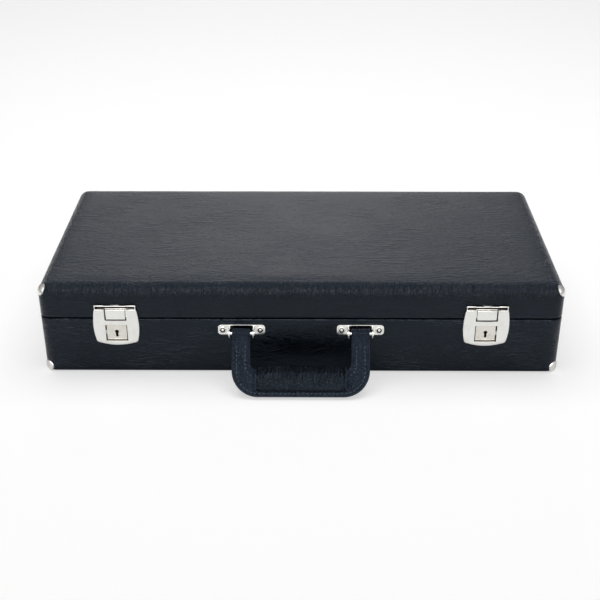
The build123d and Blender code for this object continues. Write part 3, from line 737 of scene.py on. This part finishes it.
# Lid pad: a foam cushion under plush, glued to the lid's lining, which presses lightly on what lies in
# the case. It is made a little small and swelled as cloth under pressure, held along its glued side.
low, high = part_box("lid_pad")
slack = Vector((0.002, 0.002, 0))
most_swell = 0.004
lid_pad = start_block("lid_cushion", low + slack + Vector((0, 0, 0.0025)), high - slack)
round_uprights(0.018, 8)
round_edges(0.006, 4, lambda e: middle(e).z < low.z + 0.003)
mode("OBJECT")
lid_pad.data.remesh_voxel_size = 0.004
choose(lid_pad)
bpy.ops.object.voxel_remesh()
flat_pad = [v.co.copy() for v in lid_pad.data.vertices]
glued = lid_pad.vertex_groups.new(name="glued")
glued.add([v.index for v in lid_pad.data.vertices if v.co.z > high.z - 0.003], 1.0, "REPLACE")
swell = lid_pad.modifiers.new("swell", "CLOTH")
air = swell.settings
air.use_pressure = True
air.uniform_pressure_force = 4
air.vertex_group_mass = "glued"
air.effector_weights.gravity = 0
swell.point_cache.frame_start = 1
swell.point_cache.frame_end = 20
for frame_number in range(1, 21):
    bpy.context.scene.frame_set(frame_number)
bpy.ops.object.modifier_apply(modifier="swell")
bpy.context.scene.frame_set(1)
for v, before in zip(lid_pad.data.vertices, flat_pad):
    moved = v.co - before
    if moved.length > most_swell:
        v.co = before + moved * (most_swell / moved.length)
finer = lid_pad.modifiers.new("finer", "SUBSURF")
finer.levels = 1
finer.render_levels = 1
apply_all(lid_pad)
bpy.ops.object.shade_smooth()
fit(lid_pad, plush, "lid", "plush", "lid_pad")

# Nickel: the fittings are pressed steel, plated with nickel and polished. They show faint drawn lines
# and a few dull spots from handling.
marks, entry = new_group("nickel_marks", ("Place",), ("Lines", "Spots"))
place = (entry, "Place")
put(marks, "NodeGroupOutput", Spots=cloud(marks, place, 160.0, 4.0, Roughness=0.6),
    Lines=cloud(marks, put(marks, "Mapping", Vector=place, Scale=(2200, 2200, 150)), 1.0, 2.0))


def plated(name, bright, handled, dulled):
    """Nickel plate in two tones, with drawn lines and dull spots."""
    finish, tree = new_finish(name)
    marked = put(tree, "Group", {"node_tree": marks}, Place=in_object(tree))
    lines, spots = (marked, "Lines"), (marked, "Spots")
    dull = sum_of(tree, curve_of(tree, spots, 0.45, 0.75, 0.0, dulled), lines, 0.08)
    skin_of(tree, lines, 0.15, 0.00002, Metallic=1.0, Roughness=maths(tree, "ADD", dull, 0.14),
            Base_Color=two_tones(tree, curve_of(tree, spots, 0.45, 0.8), bright, handled))
    return finish


nickel = plated("polished_nickel", (0.905, 0.905, 0.875), (0.85, 0.845, 0.81), 0.08)
for name in nodes:
    if any(word in name for word in ("lock", "flap", "hinge", "bracket", "pin", "rivets", "caps", "feet")):
        finish_node(name, nickel)

# Lock flaps: each is one nickel-plated steel pressing, a shallow barrel shape with its edges rolled back
# towards the case, two windows, and the top edge curled round a hinge pin on the lid.
front = -half_depth
lock_x = 0.169
flap_top = 0.0684
flap_low = 0.0307
belly_z = 0.050
belly_half = 0.0212
window_half = 0.0100
slide_window = (0.0356, 0.0523)
leaf_window = 0.0569
pin_z = 0.0717
pin_proud = 0.0026
sheet = 0.0009
hem_low = 0.0364
hem_rise = 0.0033


def barrel_half(z):
    """Half the width of a lock flap at a height."""
    return belly_half - (5.61 if z > belly_z else 8.98) * (z - belly_z) ** 2


def flap_outline():
    """Points round the flap, from its top right corner down."""
    right = [(barrel_half(z) - (0.0004 if k == 0 else 0.0), z) for k, z in
             enumerate([flap_top - k * (flap_top - hem_low) / 16 for k in range(17)])]
    start_x, start_z = right[-1]
    end_x = 0.0158
    end_z = flap_low + hem_rise * (end_x / 0.0189) ** 2
    for k in range(1, 10):
        t = k / 10
        right.append(((1 - t) ** 2 * start_x + 2 * t * (1 - t) * 0.0191 + t * t * end_x,
                      (1 - t) ** 2 * start_z + 2 * t * (1 - t) * 0.0334 + t * t * end_z))
    right += [(x, flap_low + hem_rise * (x / 0.0189) ** 2) for x in [end_x * (1 - k / 9) for k in range(9)]]
    return right + [(0.0, flap_low)] + [(-x, z) for x, z in reversed(right)]


def rod(radius, left, right, proud, height, steps=24):
    """A rod along X with rounded ends, added in edit mode."""
    drum(radius, right - left, ((left + right) / 2, front - proud, height), "X", steps)
    round_edges(radius * 0.3, 2, lambda e: any(abs(middle(e).x - at) < 1e-6 for at in (left, right))
                and abs(hypot(middle(e).y - front + proud, middle(e).z - height) - radius) < radius * 0.03)


def fit_pair(piece, made_name, across, body, replaced, mirrored=False):
    """Puts a copy of a metal piece at the left and the right."""
    for side, x in (("left", -across), ("right", across)):
        made = place_copy(piece, side + made_name, (x, 0, 0), flipped=mirrored and side == "left")
        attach(made, body if body in ("base", "lid") else side + body)
        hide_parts(side + replaced)
    bpy.data.objects.remove(piece)


outline = flap_outline()
flap = start("lock_flap_pressing", bpy.ops.mesh.primitive_circle_add, vertices=len(outline), radius=0.02,
             fill_type="NGON")
for v, (x, z) in zip(flap.data.vertices, outline):
    v.co = (x, front - 0.0005, z)
mode("EDIT")
take_all()
bpy.ops.mesh.normals_make_consistent()
if bmesh.from_edit_mesh(flap.data).faces[0].normal.y > 0:
    bpy.ops.mesh.flip_normals()
pull(0, -0.0018, 0)
step_in((0.00018, 0.0005), (0.00034, 0.00034), (0.0006, 0.00018), (0.0016, 0.00012))
slice_block(0, (-0.0125, -0.011, -window_half, 0, window_half, 0.011, 0.0125))
slice_block(2, (slide_window[0], 0.0395, 0.0475, slide_window[1], leaf_window))
remove_faces(lambda f: abs(middle(f).x) < window_half - 1e-5 and middle(f).y < front - 0.0006
             and (slide_window[0] < middle(f).z < slide_window[1] or middle(f).z > leaf_window))
remove_faces(lambda f: f.normal.z > 0.9 and middle(f).z > flap_top - 0.0001)
remove_faces(lambda f: f.normal.y > 0.9)
mode("OBJECT")
belly_proud = 0.00045
for v in flap.data.vertices:
    if v.co.y < front - 0.0030:
        v.co.y -= belly_proud * max(0.0, 1 - (abs(v.co.x) / 0.0150) ** 2)
thicken(flap, sheet)
mode("EDIT")
for inner, outer, rod_end in ((-0.0188, -0.0180, (-0.0189, -0.0101)), (0.0180, 0.0188, (0.0101, 0.0189))):
    rod(0.00066, *rod_end, pin_proud, pin_z)
    block((inner, front - 0.0030, flap_top - 0.0010), (outer, front - 0.0010, pin_z - 0.0002))
catch_left, catch_right, catch_back = 0.0139, 0.0149, front - 0.0009
block((catch_left, front - 0.0026, 0.0408), (catch_right, catch_back, 0.0416))
block((catch_left, front - 0.0026, 0.0463), (catch_right, catch_back, 0.0472))
block((catch_left, front - 0.0026, 0.0414), (catch_right, front - 0.0022, 0.0465))
mode("OBJECT")
crisp_edges(flap, 0.00016)
flap.data.materials.append(nickel)
fit_pair(flap, "_flap_pressing", lock_x, "_flap", "_lock_flap", mirrored=True)

# Lock hinge plates: a flat plate riveted to the lid, with a raised leaf that fills the flap's upper window
# and carries the middle knuckle of the hinge.
# Dark steel for the lock cases. It is also painted as shade into the slot behind the hinge rod, onto the
# slide's flanges and keyhole walls, and into the rivets' grooves.
dark_steel_and_shade, tree = new_finish("dark_steel_and_painted_shade")
stain = cloud(tree, in_object(tree), 420.0, 4.0)
skin_of(tree, stain, 0.4, 0.00005, Metallic=0.3, IOR=1.15,
        Base_Color=two_tones(tree, stain, (0.004, 0.004, 0.004), (0.018, 0.017, 0.015)),
        Roughness=curve_of(tree, stain, 0.3, 0.7, 0.45, 0.65))

def paint_shade_faces(piece, wanted):
    """Gives faces the second material of a piece, dark steel painted there as shade."""
    for face in piece.data.polygons:
        if wanted(face):
            face.material_index = 1


leaf = start_block("lock_leaf", (-0.0166, front - 0.0008, 0.0587), (0.0166, front, 0.0683))
block((-0.0090, front - 0.0034, 0.0578), (0.0090, front - 0.0001, 0.0678))
round_edges(0.0005, 3, lambda e: middle(e).y < front - 0.0033)
knuckle = 0.0040
block((-knuckle, front - 0.0005, 0.0672), (knuckle, front - 0.0001, pin_z + 0.0004))
block((-knuckle, front - 0.0024, pin_z - 0.0009), (knuckle, front - 0.0004, pin_z - 0.0004))
# A strip behind the hinge rod, painted dark as the shade in the slot.
block((-0.0176, front - 0.0005, 0.0679), (0.0176, front - 0.0001, 0.0714))
rod(0.00060, -knuckle, knuckle, pin_proud, pin_z)
mode("OBJECT")
crisp_edges(leaf, 0.00012)
leaf.data.materials.append(nickel)
leaf.data.materials.append(dark_steel_and_shade)
# The strip behind the hinge rod and the tab of the middle knuckle are painted dark as shade.
paint_shade_faces(leaf, lambda f: 0.0678 < f.center.z < 0.0716 and f.center.y > front - 0.00055)
fit_pair(leaf, "_hinge_plate", lock_x, "lid", "_lock_hinge_plate")

# Lock slides: a block of nickel-plated steel with a shallow dish round the keyhole. Its flanges run behind
# the rails of the lock case, and its bolt goes into the flap's catch.
slide_mid = 0.04395
slide_nickel = plated("handled_nickel", (0.82, 0.795, 0.735), (0.74, 0.70, 0.62), 0.12)

slide = start_block("lock_slide", (-0.0092, front - 0.00230, 0.0362), (0.0092, front - 0.00095, 0.0515))
round_edges(0.00035, 3, lambda e: middle(e).y < front - 0.00225)
mode("OBJECT")
dish = drum(0.0045, 0.002, (0, front - 0.0030, slide_mid), "Y", 48)
keyhole = drum(0.0018, 0.003, (0, front - 0.00275, slide_mid + 0.0006), "Y", 32)
key_slot = start("key_slot", bpy.ops.mesh.primitive_cube_add, size=1, scale=(0.0023, 0.003, 0.0045),
                 location=(0, front - 0.00275, slide_mid - 0.00225))
for made in (slide, dish, keyhole, key_slot):
    made.data.materials.append(slide_nickel)
    if made != dish:
        made.data.materials.append(dark_steel_and_shade)
# The walls of the keyhole and the key slot are painted dark as shade.
for cutter in (dish, keyhole, key_slot):
    paint_shade_faces(cutter, lambda f: cutter != dish)
    carve(slide, cutter)
apply_all(slide)
for cutter in (dish, keyhole, key_slot):
    bpy.data.objects.remove(cutter)
mode("EDIT")
block((-0.0092, front - 0.00145, 0.0353), (0.0092, front - 0.00095, 0.0526))
block((0.0030, front - 0.00195, slide_mid - 0.0020), (0.0136, front - 0.0014, slide_mid + 0.0020))
mode("OBJECT")
choose(slide)
smooth(30)
# The flanges, which show as a rim round the block, are painted dark as shade.
paint_shade_faces(slide, lambda f: f.center.y > front - 0.00150)
fit_pair(slide, "_slide_block", lock_x, "_slide", "_lock_slide", mirrored=True)
for side in ("left", "right"):
    finish_node(side + "_lock_case", dark_steel_and_shade)

# Handle brackets: nickel-plated pressings riveted to the base. A window is cut in each and its two ears
# are bent forward to carry the handle's pin.


def round_corners(radius, steps, wanted):
    """Rounds the corners of a flat piece in edit mode."""
    pick("verts", wanted)
    bpy.ops.mesh.bevel(offset=radius, segments=steps, affect="VERTICES", clamp_overlap=False)


bracket_x = 0.0545
bracket_z = 0.0462
bracket_low, bracket_high = 0.0425, 0.0505
bracket_open = 0.01025
ear_z = 0.0456
ear_out = 0.0062
bracket = start("bracket_pressing", bpy.ops.mesh.primitive_plane_add, size=1,
                location=(0, front - 0.0012, bracket_z), rotation=(pi / 2, 0, 0))
bracket.scale = (0.0433, 0.0103, 1)
settle()
mode("EDIT")
round_corners(0.0030, 7, lambda v: True)
slice_block(0, (-bracket_open, bracket_open))
slice_block(2, (bracket_low, bracket_high))
remove_faces(lambda f: abs(middle(f).x) < bracket_open and bracket_low < middle(f).z < bracket_high)
mode("OBJECT")
if bracket.data.polygons[0].normal.y > 0:
    bracket.data.flip_normals()
wall = bracket.modifiers.new("sheet", "SOLIDIFY")
wall.thickness = 0.0012
wall.offset = -1
crisp_edges(bracket, 0.00042, 3)
for end in (-1, 1):
    ear = drum(0.0035, 0.0011, (end * 0.0108, front - 0.0065, ear_z), "X", 28)
    settle()
    for v in ear.data.vertices:
        out = front - v.co.y
        rise = v.co.z - ear_z
        if out < ear_out:
            back = min(1.0, (ear_out - out) / 0.0030)
            v.co.y = front - ear_out * (1 - back)
            v.co.z = ear_z + rise * (1 + 0.25 * back)
        elif rise < -0.0024:
            v.co.z -= 0.0016 * ((-rise - 0.0024) / 0.0011)
    crisp_edges(ear, 0.00018)
    choose(bracket, ear)
    bpy.ops.object.join()
bracket.data.materials.append(nickel)
fit_pair(bracket, "_bracket_pressing", bracket_x, "base", "_handle_bracket")

# Bracket rivets: four tubular rivets of plated steel, set through the brackets and the front board.
# Each head has a rolled rim, a groove and a domed middle.
rivet_out = 0.0172
rivet_heads = []
for x in (-bracket_x - rivet_out, -bracket_x + rivet_out, bracket_x - rivet_out, bracket_x + rivet_out):
    head = drum(0.0034, 0.0013, (x, front - 0.0016, bracket_z), "Y", 36)
    settle()
    mode("EDIT")
    round_edges(0.0006, 3, lambda e: middle(e).y < front - 0.0021)
    pick("faces", lambda f: f.normal.y < -0.99 and f.calc_area() > 0.000005)
    step_in((0.00034, 0), (0.00024, -0.0006), (0.00058, 0), (0.00028, 0.00045), (0.00038, 0.00018),
            (0.00045, 0.00008))
    mode("OBJECT")
    smooth(60)
    head.data.materials.append(nickel)
    head.data.materials.append(dark_steel_and_shade)
    # The groove is painted dark as shade.
    paint_shade_faces(head, lambda f: 0.0013 < hypot(f.center.x - x, f.center.z - bracket_z) < 0.0024
           and f.center.y > front - 0.00225)
    rivet_heads.append(head)
choose(*rivet_heads)
bpy.ops.object.join()
rivet_heads = bpy.context.object
rivet_heads.name = "bracket_rivet_heads"
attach(rivet_heads, "base")
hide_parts("bracket_rivets")

# Handle core: a strip of blued spring steel, bent to a U and sewn in between the two layers of the
# strap. It keeps the handle's shape.
blued_steel, tree = new_finish("blued_spring_steel")
temper = cloud(tree, in_object(tree), 60.0, 4.0)
skin_of(tree, Metallic=1.0, Roughness=curve_of(tree, temper, 0.3, 0.7, 0.3, 0.5),
        Base_Color=two_tones(tree, curve_of(tree, temper, 0.35, 0.65), (0.12, 0.13, 0.17),
                             (0.30, 0.29, 0.28)))
finish_node("handle_core", blued_steel)

# Handle strap: a flat leather strap over a spring-steel core, cut to a U. Its ends are folded round the
# bracket pins, its edges are dyed and creased, and two rows of thread hold its layers together. Its sides
# are painted paler as a highlight.
pivot = Vector((0, -0.119, 0.0456))
rest_turn = radians(48.85)
strap_outer = 0.06275
strap_inner = 0.04625
strap_drop = 0.0583
strap_bar = 0.0362
strap_half = 0.0022
outer_corner = 0.024
inner_corner = 0.0105
loop_radius = 0.0045
swell_from = 0.012


def hang(piece):
    """Turns a flat handle piece to its rest angle, at the pins."""
    choose(piece)
    piece.rotation_euler = (rest_turn, 0, 0)
    piece.location = pivot
    settle()


strap = start("handle_strap_leather", bpy.ops.mesh.primitive_plane_add, size=1,
              location=(0, -strap_drop / 2, strap_half))
strap.scale = (2 * strap_outer, strap_drop, 1)
settle()
mode("EDIT")
round_corners(outer_corner, 14, lambda v: v.co.y < -0.01)
slice_block(0, (-strap_inner, strap_inner))
slice_block(1, (-strap_bar,))
remove_faces(lambda f: abs(middle(f).x) < strap_inner and middle(f).y > -strap_bar)
take_all()
bpy.ops.mesh.dissolve_limited(angle_limit=radians(0.5))
round_corners(inner_corner, 8, lambda v: abs(abs(v.co.x) - strap_inner) < 1e-5
              and abs(v.co.y + strap_bar) < 1e-5)
take_all()
pull(0, 0, -strap_half)
pick("faces", lambda f: abs(middle(f).z) < 1e-6)
bpy.ops.mesh.delete(type="ONLY_FACE")
round_edges(0.0009, 3, lambda e: middle(e).z > strap_half - 1e-6)
pick("faces", lambda f: f.calc_area() > 0.0005)
step_in((0.0010, 0), (0.0003, -0.00028), (0.0004, 0.00024))
mode("OBJECT")
other_side = strap.modifiers.new("other_side", "MIRROR")
other_side.use_axis = (False, False, True)
other_side.merge_threshold = 0.00001
apply_all(strap)
mode("EDIT")
slice_block(1, [-0.002 * k for k in range(6, 0, -1)])
for end in (-1, 1):
    drum(loop_radius, strap_outer - strap_inner, (end * (strap_outer + strap_inner) / 2, 0, 0), "X", 36)
round_edges(0.0008, 3, lambda e: abs(hypot(middle(e).y, middle(e).z) - loop_radius) < 0.0001
            and abs(e.verts[0].co.x - e.verts[1].co.x) < 0.001)
take_all()
bpy.ops.mesh.normals_make_consistent()
mode("OBJECT")
for v in strap.data.vertices:
    if -swell_from < v.co.y < 0.0001 and abs(v.co.z) < strap_half + 0.0001 and hypot(v.co.y, v.co.z) > 0.0001:
        fullness = ((v.co.y + swell_from) / swell_from) ** 2
        v.co.z *= 1 + (loop_radius / strap_half - 1.03) * fullness
smooth(40)
# The strap's sides are marked to be painted paler, as a highlight.
mark(strap, "edge", lambda co: float(co.y < -swell_from and abs(co.z) < strap_half - 0.0003))
hang(strap)

hide, entry = new_group("pebbled_leather", ("Place", "Drawn", "Edge", "Gathering"),
                        ("Height", "Wear", "Rubbed"))
place = (entry, "Place")
shift = cloud(hide, place, 400.0, 2.0)[0]
shifted = put(hide, "VectorMath", {"operation": "MULTIPLY_ADD"}, (shift, "Color"),
              (0.0006, 0.0006, 0.0006), place)
pebbles = put(hide, "TexVoronoi", {"feature": "DISTANCE_TO_EDGE"}, Vector=shifted, Scale=720.0)
domes = curve_of(hide, (pebbles, "Distance"), 0.0, 0.28)
rubbed = cloud(hide, place, 60.0, 3.0)
folds = cloud(hide, put(hide, "Mapping", Vector=place, Scale=(470, 110, 110)), 1.0, 1.0, Distortion=0.4)
gathered = product(hide, curve_of(hide, folds, 0.36, 0.64, -0.5, 0.5), (entry, "Drawn"), (entry, "Gathering"))
# The colour is paler on the pebble tops and rubbed patches. The gathers are painted darker in their hollows
# as shade, the sleeve's top is painted darker as shade, and the edge marks add painted highlight and shade.
wear_and_painted_light = curve_of(hide, domes, 0.1, 1.0, -0.1, 0.6)
for part, share in ((rubbed, 0.4), (gathered, 0.30),
                    (curve_of(hide, (entry, "Drawn"), 0.70, 1.0, 0.0, -0.6), 1.0), ((entry, "Edge"), 1.0)):
    wear_and_painted_light = sum_of(hide, wear_and_painted_light, part, share)
pebbled = sum_of(hide, domes, cloud(hide, place, 1500.0, 3.0), 0.35)
put(hide, "NodeGroupOutput", Height=maths(hide, "ADD", pebbled, gathered), Wear=wear_and_painted_light, Rubbed=rubbed)


def handle_leather(name, deep, high, rough_low, rough_high, relief, puckered=0.0):
    """Dyed pebbled leather, paler on its grain and rubbed patches, with painted highlight on its edges and
    painted shade in its gathers and along the sleeve's top and underside.
    """
    finish, tree = new_finish(name)
    drawn, edge = ((put(tree, "Attribute", {"attribute_name": kind}), "Fac") for kind in ("pucker", "edge"))
    cover = put(tree, "Group", {"node_tree": hide}, Place=in_object(tree), Drawn=drawn, Edge=edge,
                Gathering=puckered)
    skin_of(tree, (cover, "Height"), 1.0, relief, IOR=1.41, Specular_Tint=(0.62, 0.80, 1.0, 1),
            Base_Color=two_tones(tree, (cover, "Wear"), deep, high),
            Roughness=curve_of(tree, (cover, "Rubbed"), 0.3, 0.7, rough_low, rough_high))
    return finish


strap_finish = handle_leather("handle_strap_leather", (0.003, 0.007, 0.013), (0.056, 0.074, 0.112),
                              0.24, 0.38, 0.0008)
fit(strap, strap_finish, "handle", "handle_leather", "handle_strap")

# Handle stitching: two rows of blue-grey thread down each leg, on both faces. The outer row goes on round
# the corner and along the edge below the sleeve.
thread_pitch = 0.0039


def row_places(points):
    """Places and directions of the stitches along a row."""
    places = []
    gone = 0.0
    due = thread_pitch / 2
    for start_point, end_point in zip(points, points[1:]):
        step = (end_point - start_point).length
        while due <= gone + step:
            places.append((start_point.lerp(end_point, (due - gone) / step), end_point - start_point))
            due += thread_pitch
        gone += step
    return places


row_top = -0.0112
corner_x = 0.03875
outer_row = [Vector((0.05815, row_top - 0.0231 * k / 20, 0)) for k in range(21)]
for k in range(1, 31):
    turn = radians(90) * k / 30
    reach = 0.0194 + 0.0018 * k / 30
    outer_row.append(Vector((corner_x + reach * cos(turn), -0.0343 - reach * sin(turn), 0)))
outer_row += [Vector((corner_x * (1 - k / 20), -0.0555, 0)) for k in range(1, 21)]
inner_row = [Vector((0.05055, row_top - 0.0180 * k / 20, 0)) for k in range(21)]
for k in range(1, 21):
    turn = radians(75) * k / 20
    inner_row.append(Vector((0.03925 + 0.0113 * cos(turn), -0.0292 - 0.0113 * sin(turn), 0)))
stitch_half = 0.00132
stitch_slant = radians(7)
stitch = start("handle_stitching", bpy.ops.mesh.primitive_uv_sphere_add, segments=10, ring_count=7, radius=1,
               scale=(stitch_half, 0.00042, 0.00036))
settle()
for v in stitch.data.vertices:
    v.co.z -= 0.00016 * (v.co.x / stitch_half) ** 4
bpy.ops.object.shade_smooth()
stitches = []
for face_side in (1, -1):
    for side in (1, -1):
        for row in (outer_row, inner_row):
            for place, along in row_places(row):
                copied = copy_of(stitch)
                copied.location = (side * place.x, place.y, face_side * (strap_half + 0.00006))
                copied.rotation_euler = (0 if face_side > 0 else pi, 0,
                                         atan2(along.y, side * along.x) + side * stitch_slant)
                stitches.append(copied)
choose(*stitches)
bpy.ops.object.join()
stitching = bpy.context.object
bpy.data.objects.remove(stitch)
settle()
stitching.name = "handle_stitching"
hang(stitching)
thread, tree = new_finish("waxed_thread")
twist = put(tree, "TexWave", {"wave_type": "BANDS", "bands_direction": "DIAGONAL"},
            Vector=in_object(tree), Scale=700.0, Distortion=2.0, Detail=1.0), "Fac"
skin_of(tree, twist, 0.6, 0.00008, Roughness=0.55, Sheen_Weight=0.2,
        Base_Color=two_tones(tree, twist, (0.045, 0.065, 0.085), (0.115, 0.145, 0.175)))
stitching.data.materials.append(thread)
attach(stitching, "handle")

# Handle sleeve: soft leather wrapped over a padded grip and sewn shut below, so that it puckers along the
# top and ends in a folded lip at each side.
sleeve_half = 0.0415
sleeve_low = 0.0534
lip_from = 0.965
sleeve = drum(1, 2 * sleeve_half, (0, 0, 0), "X", 56)
sleeve.name = "handle_sleeve_leather"
settle()
mode("EDIT")
slice_block(0, [sleeve_half * k / 80 for k in range(-79, 80)])
pick("faces", lambda f: abs(f.normal.x) > 0.9)
step_in((0.12, 0))
mode("OBJECT")
# Besides the puckers, the pucker mark paints the sleeve darker along its top as shade. The edge mark paints
# the lips paler as highlight and the underside darker as shade.
mark(sleeve, "pucker", lambda co: max(0.07, min(1.0, 0.40 + co.y)))
mark(sleeve, "edge", lambda co: float(abs(co.x) > lip_from * sleeve_half) - within((-co.y - 0.72) / 0.12))
for v in sleeve.data.vertices:
    share = v.co.x / sleeve_half
    top = 0.0293 + 0.0027 * share * share
    down = -v.co.y
    around = v.co.z
    radius = hypot(down, around)
    pucker = noise.noise(Vector((v.co.x * 210 + around * 0.5, down * 1.3 + 5, around * 1.2)))
    fine_pucker = noise.noise(Vector((v.co.x * 430 + down * 0.7, down * 2.2, around * 2.4 + 9)))
    depth = within(0.75 - down * 0.75) * (0.08 * min(1.0, abs(pucker) * 2.6) + 0.05 * fine_pucker - 0.05)
    lip = 0.09 if abs(share) > lip_from else (-0.13 if abs(share) > 0.935 else 0.0)
    swell = 1 + depth + (lip if radius > 0.95 else 0.0)
    thick = (0.0110 - 0.0020 * share * share) / 2
    below = max(0.0, down)
    cornered = (2 * below * abs(around)) ** 2
    squared = min(1 + 0.22 * cornered / max(radius, 0.5) ** 4, 1 / max(below, 0.01))
    v.co.y = -((top + sleeve_low) / 2 + (sleeve_low - top) / 2 * down * squared
               * (swell if down < 0.6 else 1 + (swell - 1) * 0.3))
    v.co.z = thick * around * swell * (1 + 0.10 * cornered)
mode("EDIT")
round_edges(0.0006, 2, lambda e: len(e.link_faces) == 2 and abs(middle(e).x) > sleeve_half - 1e-5
            and e.link_faces[0].normal.angle(e.link_faces[1].normal) > 1.0)
mode("OBJECT")
smooth(50)
hang(sleeve)
sleeve_finish = handle_leather("handle_sleeve_leather", (0.001, 0.002, 0.004), (0.046, 0.061, 0.088),
                               0.20, 0.32, 0.0009, puckered=2.4)
fit(sleeve, sleeve_finish, "handle", "handle_leather", "handle_sleeve")
